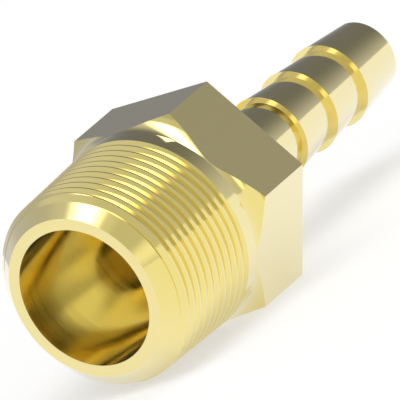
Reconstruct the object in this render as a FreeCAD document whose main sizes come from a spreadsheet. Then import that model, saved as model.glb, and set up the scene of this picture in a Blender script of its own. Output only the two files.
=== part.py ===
"""Hose barb tail: a brass pipe fitting, turned in one piece from hexagonal bar.

The axis of the fitting lies along +Y. The end face of its taper pipe thread is at Y = 0, centred on
the origin, and the hose tail points to +Y. It lies on one flat of its hexagon, so that flat faces -Z
and the opposite one faces +Z. Lengths are in millimetres and angles in degrees.
"""

import FreeCAD, Part
import math
import os
import sys

import Sketcher

# Driving dimensions, each written once
SIZES = {
    "thread_tip_diameter": 41.3,    # over the crests, at the plane of the end face
    "thread_taper": 16,             # length over which that diameter grows by one
    "thread_length": 26.0,          # end face to the last crest
    "thread_wall": 6.05,            # crest to bore, at the plane of the end face
    "mouth_bevel": 3.65,            # depth of the bevel that starts the thread
    "mouth_angle": 45.0,            # slope of that bevel
    "neck_length": 3.4,             # plain neck behind the thread
    "cove_radius": 3.9,             # hollow that is turned into the front of the hexagon
    "cove_lead": 0.65,              # how far into its round the hollow leaves the neck
    "across_flats": 43.0,
    "hex_length": 14.55,            # length of the hexagon's corners
    "drill_angle": 118.0,           # point of the drill that made the wide bore
    "end_wall": 2.0,                # end of that point, at the waterway, to the back of the hexagon
    "stem_diameter": 15.5,
    "stem_length": 11.9,            # plain stem behind the hexagon
    "tail_wall": 1.75,              # wall of the stem round the waterway
    "barb_height": 1.25,            # edge of a barb above the stem
    "barb_pitch": 11.9,
    "barb_angle": 5.9,              # slope of a barb towards the hose end
    "barb_count": 4,
    "tip_length": 13.6,             # edge of the last barb to the hose end
}

START, END, CENTRE = 1, 2, 3
HORIZONTAL_AXIS, VERTICAL_AXIS = -1, -2
ZERO = "0"


def crest_radius(along):
    """Radius of the tapered thread at a place along the axis."""
    return "(sizes.thread_tip_diameter + (" + along + ") / sizes.thread_taper) / 2"


# Places along the axis, worked out from the driving dimensions
BEVEL_END = "sizes.mouth_bevel / (tan(sizes.mouth_angle * 1 deg) - 1 / sizes.thread_taper / 2)"
THREAD_END = "sizes.thread_length"
NECK_END = THREAD_END + " + sizes.neck_length"
HEX_FRONT = NECK_END + " + sizes.cove_radius - sizes.cove_lead"
HEX_BACK = HEX_FRONT + " + sizes.hex_length"
FIRST_BARB = HEX_BACK + " + sizes.stem_length"
SECOND_BARB = FIRST_BARB + " + sizes.barb_pitch"
LAST_BARB = FIRST_BARB + " + (sizes.barb_count - 1) * sizes.barb_pitch"
HOSE_END = LAST_BARB + " + sizes.tip_length"

# Radii, worked out from the driving dimensions
FACE_RADIUS = "sizes.thread_tip_diameter / 2 - sizes.mouth_bevel"
NECK_RADIUS = crest_radius(THREAD_END)
CORNER_RADIUS = "sizes.across_flats / sqrt(3)"
STEM_RADIUS = "sizes.stem_diameter / 2"
BARB_RADIUS = STEM_RADIUS + " + sizes.barb_height"
BARB_FOOT_RADIUS = BARB_RADIUS + " - sizes.barb_pitch * tan(sizes.barb_angle * 1 deg)"
TIP_RADIUS = BARB_RADIUS + " - sizes.tip_length * tan(sizes.barb_angle * 1 deg)"
THREAD_BORE_RADIUS = "sizes.thread_tip_diameter / 2 - sizes.thread_wall"
TAIL_BORE_RADIUS = STEM_RADIUS + " - sizes.tail_wall"

# Depth of the wide bore before the cone that the drill's point leaves down to the waterway
BORE_STEP = "(" + THREAD_BORE_RADIUS + " - (" + TAIL_BORE_RADIUS + "))"
BORE_DEPTH = HEX_BACK + " - sizes.end_wall - " + BORE_STEP + " / tan(sizes.drill_angle / 2 * 1 deg)"


def add_sheet(doc):
    """The sheet of driving dimensions, one named cell a row."""
    sheet = doc.addObject("Spreadsheet::Sheet", "sizes")
    for row, (name, value) in enumerate(SIZES.items(), start=1):
        sheet.set("A%d" % row, name)
        sheet.set("B%d" % row, str(value))
        sheet.setAlias("B%d" % row, name)
    doc.recompute()
    return sheet


def measure(sheet, expression):
    """The present value of an expression over the sheet."""
    return float(sheet.evalExpression(expression.replace("sizes.", "")))


def add_sketch(body, name, role):
    """An empty sketch on one of the body's own origin planes."""
    plane = next(item for item in body.Origin.OriginFeatures if item.Role == role)
    sketch = body.newObject("Sketcher::SketchObject", name)
    sketch.AttachmentSupport = [(plane, "")]
    sketch.MapMode = "FlatFace"
    return sketch


def join(sketch, first, second):
    """Let one edge of an outline end where the next one starts."""
    sketch.addConstraint(Sketcher.Constraint("Coincident", first, END, second, START))


def dimension(sketch, name, expression, *constraint):
    """Add a named dimension and drive it by an expression over the sheet."""
    index = sketch.addConstraint(Sketcher.Constraint(*constraint))
    sketch.renameConstraint(index, name)
    sketch.setExpression("Constraints." + name, expression)


def place(sketch, name, expression, direction, axis, edge, value):
    """Hold the start of an edge on an axis of the sketch, or at a driven distance from it."""
    if expression == ZERO:
        sketch.addConstraint(Sketcher.Constraint("PointOnObject", edge, START, axis))
        return
    dimension(sketch, name, expression, direction, HORIZONTAL_AXIS, START, edge, START, value)


def revolve(body, sheet, name, corners):
    """A solid of revolution round the axis, from an outline of straight edges.

    Each corner is a pair of expressions: its place along the axis and its distance from it.
    """
    sketch = add_sketch(body, name + "_outline", "YZ_Plane")
    points = [FreeCAD.Vector(measure(sheet, along), measure(sheet, out), 0) for along, out in corners]
    ends = points[1:] + points[:1]
    edges = [sketch.addGeometry(Part.LineSegment(*pair)) for pair in zip(points, ends)]
    for first, second in zip(edges, edges[1:] + edges[:1]):
        join(sketch, first, second)
    for edge, point, (along, out) in zip(edges, points, corners):
        place(sketch, "along_%d" % edge, along, "DistanceX", VERTICAL_AXIS, edge, point.x)
        place(sketch, "out_%d" % edge, out, "DistanceY", HORIZONTAL_AXIS, edge, point.y)

    revolution = body.newObject("PartDesign::Revolution", name)
    revolution.Profile = sketch
    revolution.ReferenceAxis = (sketch, ["H_Axis"])
    revolution.Angle = 360
    return revolution


def add_hexagon(body, sheet):
    """The hexagonal bar that the spanner holds, with one flat up and one down."""
    sketch = add_sketch(body, "hexagon_section", "XZ_Plane")
    sketch.setExpression("AttachmentOffset.Base.z", "-(" + NECK_END + ") * 1 mm")
    corner = measure(sheet, CORNER_RADIUS)
    turns = [math.radians(60 * i) for i in range(6)]
    points = [FreeCAD.Vector(corner * math.cos(turn), corner * math.sin(turn), 0) for turn in turns]
    ends = points[1:] + points[:1]
    sides = [sketch.addGeometry(Part.LineSegment(*pair)) for pair in zip(points, ends)]
    circle = sketch.addGeometry(Part.Circle(FreeCAD.Vector(0, 0, 0), FreeCAD.Vector(0, 0, 1), corner))
    sketch.toggleConstruction(circle)
    for first, second in zip(sides, sides[1:] + sides[:1]):
        join(sketch, first, second)
        sketch.addConstraint(Sketcher.Constraint("PointOnObject", first, START, circle))
    for side in sides[1:]:
        sketch.addConstraint(Sketcher.Constraint("Equal", sides[0], side))
    sketch.addConstraint(Sketcher.Constraint("Coincident", circle, CENTRE, HORIZONTAL_AXIS, START))
    sketch.addConstraint(Sketcher.Constraint("PointOnObject", sides[0], START, HORIZONTAL_AXIS))
    dimension(sketch, "corner_radius", CORNER_RADIUS, "Radius", circle, corner)

    bar = body.newObject("PartDesign::Pad", "hexagon")
    bar.Profile = sketch
    bar.setExpression("Length", "sizes.cove_radius - sizes.cove_lead + sizes.hex_length")
    bar.Reversed = True
    return bar


def cut_cove(body, sheet):
    """The hollow turned into the front of the hexagon, from the neck out past the corners.

    Its round leaves the neck at a slight angle and ends square to the axis, so the flats begin in
    shallow curves and the corners stand furthest back.
    """
    thread_end = measure(sheet, THREAD_END)
    neck_end = measure(sheet, NECK_END)
    front = measure(sheet, HEX_FRONT)
    neck = measure(sheet, NECK_RADIUS)
    cove = measure(sheet, "sizes.cove_radius")
    lead = measure(sheet, "sizes.cove_lead")
    round_out = neck + math.sqrt(cove ** 2 - lead ** 2)
    past_corners = round_out + measure(sheet, CORNER_RADIUS)

    neck_start = FreeCAD.Vector(thread_end, neck, 0)
    cove_start = FreeCAD.Vector(neck_end, neck, 0)
    cove_end = FreeCAD.Vector(front, round_out, 0)
    outer_front = FreeCAD.Vector(front, past_corners, 0)
    outer_start = FreeCAD.Vector(thread_end, past_corners, 0)

    sketch = add_sketch(body, "cove_outline", "YZ_Plane")
    neck_line = sketch.addGeometry(Part.LineSegment(neck_start, cove_start))
    circle = Part.Circle(FreeCAD.Vector(front - cove, round_out, 0), FreeCAD.Vector(0, 0, 1), cove)
    arc = sketch.addGeometry(Part.ArcOfCircle(circle, circle.parameter(cove_start), math.tau))
    front_line = sketch.addGeometry(Part.LineSegment(cove_end, outer_front))
    outer_line = sketch.addGeometry(Part.LineSegment(outer_front, outer_start))
    closing_line = sketch.addGeometry(Part.LineSegment(outer_start, neck_start))
    join(sketch, neck_line, arc)
    sketch.addConstraint(Sketcher.Constraint("Tangent", arc, END, front_line, START))
    join(sketch, front_line, outer_line)
    join(sketch, outer_line, closing_line)
    join(sketch, closing_line, neck_line)
    for line in (neck_line, outer_line):
        sketch.addConstraint(Sketcher.Constraint("Horizontal", line))
    for line in (front_line, closing_line):
        sketch.addConstraint(Sketcher.Constraint("Vertical", line))

    dimension(sketch, "neck_start", THREAD_END, "DistanceX",
              HORIZONTAL_AXIS, START, neck_line, START, thread_end)
    dimension(sketch, "neck_radius", NECK_RADIUS, "DistanceY",
              HORIZONTAL_AXIS, START, neck_line, START, neck)
    dimension(sketch, "neck_end", NECK_END, "DistanceX",
              HORIZONTAL_AXIS, START, neck_line, END, neck_end)
    dimension(sketch, "cove_radius", "sizes.cove_radius", "Radius", arc, cove)
    dimension(sketch, "cove_lead", "sizes.cove_lead", "DistanceX", arc, CENTRE, arc, START, lead)
    dimension(sketch, "past_corners", CORNER_RADIUS, "DistanceY",
              front_line, START, front_line, END, past_corners - round_out)

    groove = body.newObject("PartDesign::Groove", "cove")
    groove.Profile = sketch
    groove.ReferenceAxis = (sketch, ["H_Axis"])
    groove.Angle = 360
    return groove


def add_thread_end(body, sheet):
    """The tapered blank over the thread's crests, with its bevelled mouth, and the plain neck."""
    return revolve(body, sheet, "thread_end", [(ZERO, ZERO),
                                               (ZERO, FACE_RADIUS),
                                               (BEVEL_END, crest_radius(BEVEL_END)),
                                               (THREAD_END, NECK_RADIUS),
                                               (NECK_END, NECK_RADIUS),
                                               (NECK_END, ZERO)])


def add_tail(body, sheet):
    """The hose tail: a plain stem and a row of barbs, the last one longer up to the hose end.

    Each barb is a cone that starts with a sharp edge, square to the axis on the side of the hexagon.
    """
    revolve(body, sheet, "stem", [(HEX_BACK, ZERO),
                                  (HEX_BACK, STEM_RADIUS),
                                  (FIRST_BARB, STEM_RADIUS),
                                  (FIRST_BARB, ZERO)])
    barb = revolve(body, sheet, "barb", [(FIRST_BARB, ZERO),
                                         (FIRST_BARB, BARB_RADIUS),
                                         (SECOND_BARB, BARB_FOOT_RADIUS),
                                         (SECOND_BARB, ZERO)])
    row = body.newObject("PartDesign::LinearPattern", "barb_row")
    row.Originals = [barb]
    row.Direction = (barb.Profile[0], ["H_Axis"])
    row.Mode = "Spacing"
    row.setExpression("Offset", "sizes.barb_pitch")
    row.setExpression("Occurrences", "sizes.barb_count - 1")
    body.Tip = row
    return revolve(body, sheet, "tip", [(LAST_BARB, ZERO),
                                        (LAST_BARB, BARB_RADIUS),
                                        (HOSE_END, TIP_RADIUS),
                                        (HOSE_END, ZERO)])


def add_bore(body, sheet, name, radius):
    """A round hole on the axis, drilled from the threaded end."""
    sketch = add_sketch(body, name + "_circle", "XZ_Plane")
    middle = FreeCAD.Vector(0, 0, 0)
    circle = sketch.addGeometry(Part.Circle(middle, FreeCAD.Vector(0, 0, 1), measure(sheet, radius)))
    sketch.addConstraint(Sketcher.Constraint("Coincident", circle, CENTRE, HORIZONTAL_AXIS, START))
    dimension(sketch, "radius", radius, "Radius", circle, measure(sheet, radius))
    body.Document.recompute()

    hole = body.newObject("PartDesign::Hole", name)
    hole.Profile = sketch
    hole.setExpression("Diameter", "2 * (" + radius + ")")
    return hole


def add_bores(body, sheet):
    """The wide drilled bore of the threaded end, and the waterway on through the tail."""
    wide = add_bore(body, sheet, "thread_bore", THREAD_BORE_RADIUS)
    wide.DepthType = "Dimension"
    wide.setExpression("Depth", BORE_DEPTH)
    wide.DrillPoint = "Angled"
    wide.setExpression("DrillPointAngle", "sizes.drill_angle")
    waterway = add_bore(body, sheet, "tail_bore", TAIL_BORE_RADIUS)
    waterway.DepthType = "ThroughAll"
    return waterway


def check(doc, shape):
    """Stop with a plain message if a feature failed or the solid isn't sound."""
    failed = [item.Name for item in doc.Objects if {"Invalid", "Error"} & set(item.State)]
    if failed:
        sys.exit("failed features: " + ", ".join(failed))
    if shape.isNull() or not shape.isValid() or len(shape.Solids) != 1:
        sys.exit("the fitting is not one sound solid")


def main():
    """Build the fitting and write its solid."""
    doc = FreeCAD.newDocument("hose_barb_tail")
    sheet = add_sheet(doc)
    body = doc.addObject("PartDesign::Body", "fitting")
    body.Label = "fitting_body"
    body.Placement = FreeCAD.Placement()

    add_hexagon(body, sheet)
    cut_cove(body, sheet)
    add_thread_end(body, sheet)
    body.Tip = add_tail(body, sheet)
    body.Tip = add_bores(body, sheet)
    doc.recompute()
    check(doc, body.Shape)

    os.makedirs("parts", exist_ok=True)
    body.Shape.exportStep(os.path.join("parts", body.Label + ".step"))
    print("%s: volume %.1f mm3, %d faces" % (body.Label, body.Shape.Volume, len(body.Shape.Faces)))


main()
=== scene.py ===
"""The looks of a one-piece brass hose barb tail, on a plain white bench in soft studio light."""

import logging
import math
from dataclasses import dataclass, field
from enum import Enum

import bmesh
import bpy
import numpy as np
from mathutils import Matrix, Vector


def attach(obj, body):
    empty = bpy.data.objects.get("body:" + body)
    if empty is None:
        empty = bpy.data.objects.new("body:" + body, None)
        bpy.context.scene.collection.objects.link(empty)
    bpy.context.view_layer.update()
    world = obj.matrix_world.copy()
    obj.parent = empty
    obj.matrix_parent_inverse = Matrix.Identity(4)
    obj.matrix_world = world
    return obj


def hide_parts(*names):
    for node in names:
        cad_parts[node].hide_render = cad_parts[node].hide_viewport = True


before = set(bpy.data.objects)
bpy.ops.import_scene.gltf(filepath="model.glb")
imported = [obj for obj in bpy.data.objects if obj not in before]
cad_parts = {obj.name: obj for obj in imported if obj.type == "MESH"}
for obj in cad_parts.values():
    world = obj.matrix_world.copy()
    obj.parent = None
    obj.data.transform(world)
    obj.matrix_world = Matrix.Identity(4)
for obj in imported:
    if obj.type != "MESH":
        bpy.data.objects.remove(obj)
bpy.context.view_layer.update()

log = logging.getLogger("hose_barb_tail")

MM = 0.001
TURN = 360.0
SIXTH = TURN / 6
WELD = 1e-6
NO_STEP = 1e-9
SMOOTH_UNDER = math.radians(5.0)
FLOOR_HEIGHT = -21.5
# A drawn streak is this many times as long as it is wide.
STREAK_STRETCH = 60.0
# The marks move this far along the axis for each millimetre of radius, so that faces square to the
# axis have rings too.
FACE_FEED = -0.8
# A ring's marks change slowly round the fitting, this often for each metre.
SWEEP = 40.0
# Most of the noise lies between these values.
NOISE_LOW = 0.3
NOISE_HIGH = 0.7
# Painted sheen: how fast the base colour is paled towards a near-white as the surface turns edge-on,
# standing in for the whitening of the reflection at flat angles.
PAINTED_SHEEN_RISE = 1.25
# The bore mirrors itself several times over, and Cycles must follow that to keep it golden.
MIRROR_BOUNCES = 6


class Surface(Enum):
    """How a surface of the fitting was cut, which is also its material slot's number."""

    TURNED = 0
    DRAWN = 1
    BORED = 2


def linear(code: str) -> tuple[float, float, float, float]:
    """Turn an sRGB hex colour into linear red, green, blue and alpha.

    Args:
        code: The colour, such as "#F0E6A5".

    Returns:
        The linear colour, opaque.
    """
    shares = [int(code[i : i + 2], 16) / 255 for i in (1, 3, 5)]
    channels = [s / 12.92 if s <= 0.04045 else ((s + 0.055) / 1.055) ** 2.4 for s in shares]
    return (*channels, 1.0)


def add_node(
    tree: bpy.types.NodeTree, kind: str, settings: dict | None = None, links: dict | None = None
) -> bpy.types.Node:
    """Add one node, with its settings and the links and values of its inputs.

    Args:
        tree: The node tree that gets the node.
        kind: The node's type, such as "ShaderNodeMix".
        settings: Values of the node's own properties, by name.
        links: For an input's name or number, either an output socket or a plain value.

    Returns:
        The new node.
    """
    node = tree.nodes.new(kind)
    for name, value in (settings or {}).items():
        setattr(node, name, value)
    for key, value in (links or {}).items():
        if isinstance(value, bpy.types.NodeSocket):
            tree.links.new(value, node.inputs[key])
        else:
            node.inputs[key].default_value = value
    return node


@dataclass(frozen=True)
class Brass:
    """A finish of free-cutting brass: bright yellow metal that shows the marks of its tool.

    The cut and the drawn surfaces are smooth enough to mirror the studio, and their fine marks
    only streak the reflections. Towards edge-on the colour is paled by a painted sheen. All lengths
    are in millimetres.
    """

    name: str
    colour: str
    dull_colour: str
    # The near-white of the painted sheen, which the base colour is paled to as the surface turns
    # edge-on.
    painted_sheen_colour: str
    roughness: float
    roughness_spread: float
    mark_width: float
    mark_height: float
    surface: Surface

    def place(self, tree: bpy.types.NodeTree) -> bpy.types.NodeSocket:
        """Make the coordinate along which this surface's tool marks follow each other.

        Args:
            tree: The material's node tree.

        Returns:
            A vector output, in units of one mark.
        """
        marks = 1 / (self.mark_width * MM)
        where = add_node(tree, "ShaderNodeTexCoord").outputs["Object"]
        if self.surface is Surface.DRAWN:
            stretch = (marks, marks / STREAK_STRETCH, marks)
            return add_node(
                tree, "ShaderNodeVectorMath", {"operation": "MULTIPLY"}, {0: where, 1: stretch}
            ).outputs["Vector"]
        across = add_node(
            tree, "ShaderNodeVectorMath", {"operation": "MULTIPLY"}, {0: where, 1: (1.0, 0.0, 1.0)}
        )
        radius = add_node(
            tree, "ShaderNodeVectorMath", {"operation": "LENGTH"}, {0: across.outputs["Vector"]}
        )
        height = add_node(tree, "ShaderNodeSeparateXYZ", {}, {0: where})
        path = add_node(
            tree,
            "ShaderNodeMath",
            {"operation": "MULTIPLY_ADD"},
            {0: radius.outputs["Value"], 1: FACE_FEED, 2: height.outputs["Y"]},
        )
        rings = add_node(
            tree, "ShaderNodeMath", {"operation": "MULTIPLY"}, {0: path.outputs[0], 1: marks}
        )
        sweep = add_node(
            tree, "ShaderNodeVectorMath", {"operation": "MULTIPLY"}, {0: where, 1: (SWEEP, 0.0, SWEEP)}
        )
        along = add_node(tree, "ShaderNodeCombineXYZ", {}, {1: rings.outputs[0]})
        return add_node(
            tree,
            "ShaderNodeVectorMath",
            {"operation": "ADD"},
            {0: along.outputs[0], 1: sweep.outputs["Vector"]},
        ).outputs["Vector"]

    def make(self) -> bpy.types.Material:
        """Build the material.

        Returns:
            The finished brass material.
        """
        material = bpy.data.materials.new(self.name)
        material.use_nodes = True
        tree = material.node_tree
        shader = tree.nodes["Principled BSDF"]
        shader.inputs["Metallic"].default_value = 1.0
        marks = add_node(
            tree,
            "ShaderNodeTexNoise",
            {"noise_dimensions": "3D"},
            {"Vector": self.place(tree), "Scale": 1.0, "Detail": 2.0, "Roughness": 0.5},
        )
        shade = add_node(
            tree,
            "ShaderNodeMix",
            {"data_type": "RGBA"},
            {0: marks.outputs["Fac"], 6: linear(self.dull_colour), 7: linear(self.colour)},
        )
        # Painted sheen: the base colour is mixed towards the near-white as the surface turns edge-on,
        # standing in for the whitening of the reflection at flat angles.
        edge_on = add_node(tree, "ShaderNodeLayerWeight", {}, {"Blend": 0.5})
        painted_sheen_share = add_node(
            tree,
            "ShaderNodeMath",
            {"operation": "POWER"},
            {0: edge_on.outputs["Facing"], 1: PAINTED_SHEEN_RISE},
        )
        painted_sheen = add_node(
            tree,
            "ShaderNodeMix",
            {"data_type": "RGBA"},
            {0: painted_sheen_share.outputs[0], 6: shade.outputs[2], 7: linear(self.painted_sheen_colour)},
        )
        gloss = add_node(
            tree,
            "ShaderNodeMapRange",
            {},
            {
                "Value": marks.outputs["Fac"],
                "From Min": NOISE_LOW,
                "From Max": NOISE_HIGH,
                "To Min": self.roughness - self.roughness_spread,
                "To Max": self.roughness + self.roughness_spread,
            },
        )
        relief = add_node(
            tree,
            "ShaderNodeBump",
            {},
            {"Height": marks.outputs["Fac"], "Strength": 1.0, "Distance": self.mark_height * MM},
        )
        tree.links.new(painted_sheen.outputs[2], shader.inputs["Base Color"])
        tree.links.new(gloss.outputs[0], shader.inputs["Roughness"])
        tree.links.new(relief.outputs[0], shader.inputs["Normal"])
        return material


# Free-cutting brass, turned with a sharp tool and left bright. To the eye it is a mirror with a
# yellow cast, whose rings of feed marks are a tenth of a millimetre apart. They are drawn coarser,
# because that is finer than a pixel.
TURNED_BRASS = Brass(
    name="turned_brass",
    colour="#F1E08C",
    dull_colour="#EEDC87",
    # The near-white of the painted sheen at edge-on.
    painted_sheen_colour="#FCF9ED",
    roughness=0.09,
    roughness_spread=0.015,
    mark_width=0.45,
    mark_height=0.0004,
    surface=Surface.TURNED,
)

# The same brass on the flats of the hexagon, as the drawing die left the bar. It shines like the
# turned metal, with faint streaks that run the length of the bar.
DRAWN_BRASS = Brass(
    name="drawn_brass",
    colour="#F1E08C",
    dull_colour="#EDDB86",
    # The near-white of the painted sheen at edge-on.
    painted_sheen_colour="#FCF9ED",
    roughness=0.1,
    roughness_spread=0.02,
    mark_width=0.6,
    mark_height=0.0003,
    surface=Surface.DRAWN,
)

# The same brass inside, where a drill and a boring bar left a slightly coarser ring pattern that
# nobody polished, so the reflections in it are softer.
BORED_BRASS = Brass(
    name="bored_brass",
    colour="#F1E292",
    dull_colour="#ECDB8A",
    # The near-white of the painted sheen at edge-on.
    painted_sheen_colour="#FCF9ED",
    roughness=0.155,
    roughness_spread=0.03,
    mark_width=0.7,
    mark_height=0.0008,
    surface=Surface.BORED,
)


@dataclass(frozen=True)
class Rings:
    """Rows of points round the axis: where each row's points lie, and the finish that follows it.

    Each array has a row for a ring and a column for an angle, in millimetres.
    """

    along: np.ndarray
    radius: np.ndarray
    surface: Surface


def plain_rings(points: list[tuple[float, float]], angles: np.ndarray, surface: Surface) -> Rings:
    """Make round rings from the points of a turned outline.

    Args:
        points: The distance along the axis and the radius of each ring.
        angles: The angle of each column, in degrees.
        surface: How the surface was cut.

    Returns:
        One ring for each point.
    """
    ones = np.ones_like(angles)
    along = np.array([ones * y for y, _ in points])
    radius = np.array([ones * r for _, r in points])
    return Rings(along, radius, surface)


@dataclass(frozen=True)
class PipeThread:
    """The 1-1/4 inch male taper pipe thread, 11.5 turns an inch, with its bevelled mouth.

    Its radius grows by one in the taper. The flats are shares of the pitch.
    """

    mouth_radius: float = 17.0
    tip_radius: float = 20.65
    taper: float = 32.0
    length: float = 26.0
    neck_end: float = 26.8
    pitch: float = 2.2088
    crest_flat: float = 0.13
    root_flat: float = 0.04
    flank_angle: float = 30.0
    first_crest: float = 3.946
    first_crest_angle: float = 54.1
    runout_start: float = 25.85
    runout_end: float = 26.6
    turns: range = range(-2, 14)

    def crest(self, along: np.ndarray) -> np.ndarray:
        """Return the radius of the crests at each distance along the axis."""
        return self.tip_radius + np.minimum(along, self.length) / self.taper

    def bevel(self, along: np.ndarray) -> np.ndarray:
        """Return the radius of the bevelled mouth at each distance along the axis."""
        return self.mouth_radius + along

    def depth(self, root_along: np.ndarray) -> np.ndarray:
        """Return the depth of the groove, which runs out to nothing behind the thread.

        Args:
            root_along: Where the middle of the groove is along the axis.

        Returns:
            The depth there.
        """
        flank = self.pitch * (1 - self.crest_flat - self.root_flat) / 2
        full = flank / math.tan(math.radians(self.flank_angle))
        share = (root_along - self.runout_start) / (self.runout_end - self.runout_start)
        share = np.clip(share, 0.0, 1.0)
        return full * (1 - share * share * (3 - 2 * share))

    def corners(self, angles: np.ndarray) -> tuple[np.ndarray, np.ndarray]:
        """Lay out the corners of every turn, before the mouth is bevelled.

        Args:
            angles: The angle of each column, in degrees.

        Returns:
            The distance along the axis and the radius of each corner.
        """
        crest, root = self.crest_flat * self.pitch / 2, self.root_flat * self.pitch / 2
        lead = self.first_crest - self.pitch * (angles - self.first_crest_angle) / TURN
        along, radius = [], []
        for turn in self.turns:
            middle = lead + self.pitch * turn
            groove = middle + self.pitch / 2
            depth = self.depth(groove)
            for place, cut in (
                (middle - crest, 0.0),
                (middle + crest, 0.0),
                (groove - root, depth),
                (groove + root, depth),
            ):
                along.append(place)
                radius.append(self.crest(place) - cut)
        return np.array(along), np.array(radius)

    def rings(self, angles: np.ndarray) -> Rings:
        """Wind the thread and cut its mouth to the bevel.

        Args:
            angles: The angle of each column, in degrees.

        Returns:
            The rings from the bevel's inner edge to the plain neck.
        """
        along, radius = self.corners(angles)
        proud = radius - self.bevel(along)
        step = proud[:-1] - proud[1:]
        share = np.clip(proud[:-1] / np.where(np.abs(step) < NO_STEP, NO_STEP, step), 0.0, 1.0)
        cross_along = along[:-1] + share * (along[1:] - along[:-1])
        cross_radius = radius[:-1] + share * (radius[1:] - radius[:-1])
        rows = 2 * len(along) - 1
        all_along, all_radius = np.empty((rows, len(angles))), np.empty((rows, len(angles)))
        all_along[0::2], all_radius[0::2] = along, radius
        all_along[1::2], all_radius[1::2] = cross_along, cross_radius
        all_radius = np.where(all_along > self.neck_end, self.crest(all_along), all_radius)
        all_along = np.clip(all_along, 0.0, self.neck_end)
        all_radius = np.minimum(all_radius, self.bevel(all_along))
        return Rings(all_along, all_radius, Surface.TURNED)


@dataclass(frozen=True)
class Hexagon:
    """The hexagon for a spanner, whose front is turned to a hollow cove."""

    across_flats: float = 43.0
    neck_start: float = 27.0
    neck_radius: float = 21.4625
    cove_along: float = 28.75
    cove_height: float = 25.309
    cove_radius: float = 3.9
    cove_rows: int = 24
    back: float = 47.2

    def face_radius(self, angles: np.ndarray) -> np.ndarray:
        """Return the distance from the axis to the hexagon's flats at each angle in degrees."""
        off_middle = np.radians((angles % SIXTH) - SIXTH / 2)
        return self.across_flats / 2 / np.cos(off_middle)

    def rings(self, angles: np.ndarray) -> list[Rings]:
        """Turn the neck and the cove, then take the flats to the back.

        Args:
            angles: The angle of each column, in degrees.

        Returns:
            The rings of the neck, the cove and the flats, and the ring at their back.
        """
        face = self.face_radius(angles)
        start = math.acos((self.cove_height - self.neck_radius) / self.cove_radius)
        end = np.arccos((self.cove_height - face) / self.cove_radius)
        share = np.linspace(0.0, 1.0, self.cove_rows)[:, None]
        swing = start + (end - start) * share
        along = self.cove_along + self.cove_radius * np.sin(swing)
        radius = self.cove_height - self.cove_radius * np.cos(swing)
        neck = plain_rings([(self.neck_start, self.neck_radius)], angles, Surface.TURNED)
        cove = Rings(along[:-1], radius[:-1], Surface.TURNED)
        flats = Rings(along[-1:], radius[-1:], Surface.DRAWN)
        back = Rings(np.full((1, len(angles)), self.back), face[None, :], Surface.TURNED)
        return [neck, cove, flats, back]


@dataclass(frozen=True)
class BarbedTail:
    """The hose tail: a plain stem and four barbs that let a hose on and hold it."""

    stem_start: float = 47.2
    stem_radius: float = 7.75
    edge_radius: float = 9.0
    foot_radius: float = 7.770
    first_edge: float = 59.1
    barb_pitch: float = 11.9
    barbs: int = 4
    tip: float = 108.4
    tip_radius: float = 7.595

    def rings(self, angles: np.ndarray) -> Rings:
        """Turn the stem and the barbs as far as the tip.

        Args:
            angles: The angle of each column, in degrees.

        Returns:
            The rings from the hexagon's back to the tip.
        """
        edges = [self.first_edge + self.barb_pitch * i for i in range(self.barbs)]
        points = [(self.stem_start, self.stem_radius), (edges[0], self.stem_radius)]
        for this_edge, next_edge in zip(edges, edges[1:]):
            points += [(this_edge, self.edge_radius), (next_edge, self.foot_radius)]
        points += [(edges[-1], self.edge_radius), (self.tip, self.tip_radius)]
        return plain_rings(points, angles, Surface.TURNED)


@dataclass(frozen=True)
class Bores:
    """The wide bore behind the thread, the cone its drill left, and the waterway to the tip."""

    wide_radius: float = 14.6
    wide_end: float = 40.033
    waterway_radius: float = 6.0
    waterway_start: float = 45.2
    tip: float = 108.4

    def rings(self, angles: np.ndarray) -> Rings:
        """Bore the fitting through, from the tip back to the threaded end.

        Args:
            angles: The angle of each column, in degrees.

        Returns:
            The rings from the tip to the threaded end's face.
        """
        points = [
            (self.tip, self.waterway_radius),
            (self.waterway_start, self.waterway_radius),
            (self.wide_end, self.wide_radius),
            (0.0, self.wide_radius),
        ]
        return plain_rings(points, angles, Surface.BORED)


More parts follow.
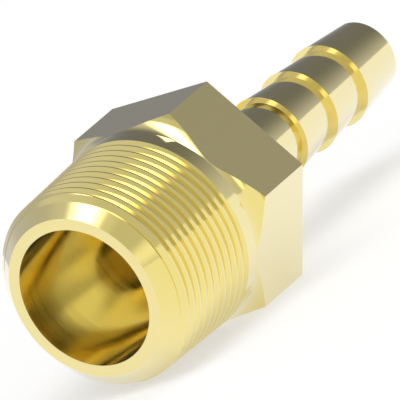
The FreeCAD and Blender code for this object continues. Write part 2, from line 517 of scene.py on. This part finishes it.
@dataclass
class Fitting:
    """The whole brass fitting, turned and bored from one length of hexagonal bar."""

    thread: PipeThread = field(default_factory=PipeThread)
    hexagon: Hexagon = field(default_factory=Hexagon)
    tail: BarbedTail = field(default_factory=BarbedTail)
    bores: Bores = field(default_factory=Bores)
    columns: int = 384

    def sections(self, angles: np.ndarray) -> list[Rings]:
        """List the rings of the closed outline, from the threaded end round to its bore.

        Args:
            angles: The angle of each column, in degrees.

        Returns:
            The sections in order. The last one's rings lead back to the first.
        """
        bore = self.bores.rings(angles)
        face = Rings(bore.along[-1:], bore.radius[-1:], Surface.TURNED)
        walls = Rings(bore.along[:-1], bore.radius[:-1], Surface.BORED)
        tail = self.tail.rings(angles)
        return [face, self.thread.rings(angles), *self.hexagon.rings(angles), tail, walls]

    def mesh(self) -> bpy.types.Mesh:
        """Join all the rings into one closed mesh, with its sharp edges and finishes.

        Returns:
            The mesh, in metres in the frame of the part.
        """
        angles = np.linspace(0.0, TURN, self.columns + 1)
        sections = self.sections(angles)
        along = np.vstack([s.along for s in sections]) * MM
        radius = np.vstack([s.radius for s in sections]) * MM
        slots = [s.surface.value for s in sections for _ in s.along]
        turn = np.radians(angles)
        points = np.stack([radius * np.cos(turn), along, radius * np.sin(turn)], axis=-1)
        shape = bmesh.new()
        grid = [[shape.verts.new(point) for point in row] for row in points]
        for row, slot in enumerate(slots):
            near, far = grid[row], grid[(row + 1) % len(grid)]
            for column in range(self.columns):
                corners = (near[column], far[column], far[column + 1], near[column + 1])
                shape.faces.new(corners).material_index = slot
        bmesh.ops.remove_doubles(shape, verts=shape.verts, dist=WELD)
        bmesh.ops.dissolve_degenerate(shape, edges=shape.edges, dist=WELD)
        bmesh.ops.recalc_face_normals(shape, faces=shape.faces)
        for face in shape.faces:
            face.smooth = True
        for edge in shape.edges:
            edge.smooth = edge.is_manifold and edge.calc_face_angle() < SMOOTH_UNDER
        mesh = bpy.data.meshes.new("brass_fitting")
        shape.to_mesh(mesh)
        shape.free()
        return mesh

    def build(self) -> bpy.types.Object:
        """Make the piece, dress it and set it on the frame.

        Returns:
            The brass fitting.
        """
        mesh = self.mesh()
        for finish in (TURNED_BRASS, DRAWN_BRASS, BORED_BRASS):
            mesh.materials.append(finish.make())
        piece = bpy.data.objects.new("brass_fitting", mesh)
        bpy.context.scene.collection.objects.link(piece)
        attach(piece, "root")
        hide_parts("fitting_body")
        return piece


@dataclass(frozen=True)
class Glow:
    """One soft patch of light or shade in the studio round the object.

    Directions are in degrees: the bearing is from +Y towards +X, and the height is above the bench.
    The patch has its full level out to the core, and fades to nothing at the reach.
    """

    bearing: float
    height: float
    core: float
    reach: float
    level: float

    def direction(self) -> tuple[float, float, float]:
        """Return the unit vector towards the middle of the patch."""
        bearing, height = math.radians(self.bearing), math.radians(self.height)
        flat = math.cos(height)
        return (flat * math.sin(bearing), flat * math.cos(bearing), math.sin(height))


@dataclass(frozen=True)
class Softbox:
    """A large soft lamp that hangs level over the bench.

    Its place and sides are given for each metre that it hangs above the fitting.
    """

    turn: float = 60.0
    middle: tuple[float, float] = (0.12, 0.275)
    half_sides: tuple[float, float] = (0.81, 0.23)
    soft_edges: tuple[float, float] = (0.24, 0.23)
    level: float = 4.0

    def axes(self) -> tuple[Vector, Vector]:
        """Return the directions along the lamp and across it, to the right."""
        turn = math.radians(self.turn)
        along = Vector((math.cos(turn), math.sin(turn), 0.0))
        across = Vector((math.sin(turn), -math.cos(turn), 0.0))
        return along, across

    def share(self, tree: bpy.types.NodeTree, ray: bpy.types.NodeSocket) -> bpy.types.NodeSocket:
        """Make the share of the lamp that is seen along a ray.

        Args:
            tree: The world's node tree.
            ray: The direction of the ray.

        Returns:
            An output from 0 outside the lamp to 1 inside it.
        """
        rise = add_node(tree, "ShaderNodeSeparateXYZ", {}, {0: ray}).outputs["Z"]
        above = add_node(tree, "ShaderNodeMath", {"operation": "GREATER_THAN"}, {0: rise, 1: 0.0})
        share = above.outputs[0]
        sides = zip(self.axes(), self.middle, self.half_sides, self.soft_edges)
        for axis, middle, half, soft in sides:
            aside = add_node(
                tree, "ShaderNodeVectorMath", {"operation": "DOT_PRODUCT"}, {0: ray, 1: axis}
            )
            place = add_node(
                tree, "ShaderNodeMath", {"operation": "DIVIDE"}, {0: aside.outputs["Value"], 1: rise}
            )
            shifted = add_node(
                tree, "ShaderNodeMath", {"operation": "SUBTRACT"}, {0: place.outputs[0], 1: middle}
            )
            off_middle = add_node(
                tree, "ShaderNodeMath", {"operation": "ABSOLUTE"}, {0: shifted.outputs[0]}
            )
            edge = add_node(
                tree,
                "ShaderNodeMapRange",
                {"interpolation_type": "SMOOTHSTEP"},
                {
                    "Value": off_middle.outputs[0],
                    "From Min": half - soft,
                    "From Max": half + soft,
                    "To Min": 1.0,
                    "To Max": 0.0,
                },
            )
            share = add_node(
                tree, "ShaderNodeMath", {"operation": "MULTIPLY"}, {0: share, 1: edge.outputs[0]}
            ).outputs[0]
        return share


@dataclass(frozen=True)
class Studio:
    """The plain white bench, the soft studio round it and the camera.

    The bench is lit like everything else. The lift adds what it lacks of white where a camera,
    glossy or transmission ray meets it, so the metal mirrors the same white as the view shows.
    """

    wall_level: float = 0.64
    glows: tuple[Glow, ...] = (
        Glow(bearing=-13, height=34, core=13, reach=63, level=0.17),
        Glow(bearing=-122, height=9, core=37, reach=48, level=0.51),
        Glow(bearing=120, height=11, core=1, reach=18, level=1.5),
        Glow(bearing=155, height=50, core=2, reach=13, level=0.76),
        Glow(bearing=-148, height=38, core=8, reach=25, level=0.70),
    )
    softbox: Softbox = field(default_factory=Softbox)
    bench_half: float = 2.0
    bench_colour: str = "#B4B4B4"
    lift: float = 1.185
    camera_lens: float = 1375.0
    camera_azimuth: float = 40.262
    camera_elevation: float = 12.608
    camera_roll: float = 26.450
    camera_distance: float = 2992.8
    aim: tuple[float, float, float] = (-4.71, 49.63, -1.98)

    def light(self) -> None:
        """Light the world with plain walls, soft patches and the softbox."""
        world = bpy.data.worlds.new("studio")
        world.use_nodes = True
        bpy.context.scene.world = world
        tree = world.node_tree
        ray = add_node(tree, "ShaderNodeTexCoord").outputs["Generated"]
        level: bpy.types.NodeSocket | float = self.wall_level
        for glow in self.glows:
            toward = add_node(
                tree, "ShaderNodeVectorMath", {"operation": "DOT_PRODUCT"}, {0: ray, 1: glow.direction()}
            )
            spread = add_node(
                tree,
                "ShaderNodeMapRange",
                {"interpolation_type": "SMOOTHSTEP"},
                {
                    "Value": toward.outputs["Value"],
                    "From Min": math.cos(math.radians(glow.reach)),
                    "From Max": math.cos(math.radians(glow.core)),
                },
            )
            level = add_node(
                tree,
                "ShaderNodeMix",
                {"data_type": "FLOAT"},
                {0: spread.outputs[0], 2: level, 3: glow.level},
            ).outputs[0]
        whole = add_node(
            tree,
            "ShaderNodeMix",
            {"data_type": "FLOAT"},
            {0: self.softbox.share(tree, ray), 2: level, 3: self.softbox.level},
        )
        tree.links.new(whole.outputs[0], tree.nodes["Background"].inputs["Strength"])
        tree.nodes["Background"].inputs["Color"].default_value = (1.0, 1.0, 1.0, 1.0)

    def bench(self) -> bpy.types.Object:
        """Make the plain bench under the fitting.

        Returns:
            The bench.
        """
        material = bpy.data.materials.new("white_bench")
        material.use_nodes = True
        tree = material.node_tree
        tree.nodes.remove(tree.nodes["Principled BSDF"])
        colour = linear(self.bench_colour)
        matt = add_node(tree, "ShaderNodeBsdfDiffuse", {}, {"Color": colour})
        path = add_node(tree, "ShaderNodeLightPath")
        seen = add_node(
            tree,
            "ShaderNodeMath",
            {"operation": "MAXIMUM"},
            {0: path.outputs["Is Camera Ray"], 1: path.outputs["Is Glossy Ray"]},
        )
        through = add_node(
            tree,
            "ShaderNodeMath",
            {"operation": "MAXIMUM"},
            {0: seen.outputs[0], 1: path.outputs["Is Transmission Ray"]},
        )
        lift = add_node(
            tree,
            "ShaderNodeMath",
            {"operation": "MULTIPLY"},
            {0: through.outputs[0], 1: self.lift},
        )
        white = add_node(
            tree, "ShaderNodeEmission", {}, {"Color": colour, "Strength": lift.outputs[0]}
        )
        mixed = add_node(tree, "ShaderNodeAddShader", {}, {0: matt.outputs[0], 1: white.outputs[0]})
        tree.links.new(mixed.outputs[0], tree.nodes["Material Output"].inputs["Surface"])
        half, height = self.bench_half, FLOOR_HEIGHT * MM
        corners = [(x * half, y * half, height) for x, y in ((-1, -1), (1, -1), (1, 1), (-1, 1))]
        mesh = bpy.data.meshes.new("bench")
        mesh.from_pydata(corners, [], [(0, 1, 2, 3)])
        mesh.materials.append(material)
        bench = bpy.data.objects.new("bench", mesh)
        bpy.context.scene.collection.objects.link(bench)
        return bench

    def camera(self) -> bpy.types.Object:
        """Set up the long-lens camera at the photograph's angle.

        Returns:
            The camera, which is also made the scene's own.
        """
        azimuth, elevation = math.radians(self.camera_azimuth), math.radians(self.camera_elevation)
        roll = math.radians(self.camera_roll)
        level = math.cos(elevation)
        back = Vector((level * math.sin(azimuth), -level * math.cos(azimuth), math.sin(elevation)))
        level_right = Vector((math.cos(azimuth), math.sin(azimuth), 0.0))
        level_up = back.cross(level_right)
        up = level_up * math.cos(roll) + level_right * math.sin(roll)
        right = up.cross(back)
        data = bpy.data.cameras.new("camera")
        data.lens = self.camera_lens
        data.sensor_width = 36.0
        data.clip_start, data.clip_end = 0.1, 12.0
        camera = bpy.data.objects.new("camera", data)
        bpy.context.scene.collection.objects.link(camera)
        place = (Vector(self.aim) + back * self.camera_distance) * MM
        turn = Matrix((right, up, back)).transposed().to_4x4()
        camera.matrix_world = Matrix.Translation(place) @ turn
        bpy.context.scene.camera = camera
        return camera


def main() -> None:
    """Build the studio and the fitting in order, and report each piece."""
    logging.basicConfig(level=logging.INFO, format="%(name)s: %(message)s")
    bpy.context.scene.view_settings.view_transform = "Standard"
    bpy.context.scene.cycles.glossy_bounces = MIRROR_BOUNCES
    studio = Studio()
    studio.camera()
    studio.light()
    log.info("stage %s", studio.bench().name)
    piece = Fitting().build()
    log.info("piece %s with %d faces", piece.name, len(piece.data.polygons))


if __name__ == "__main__":
    main()
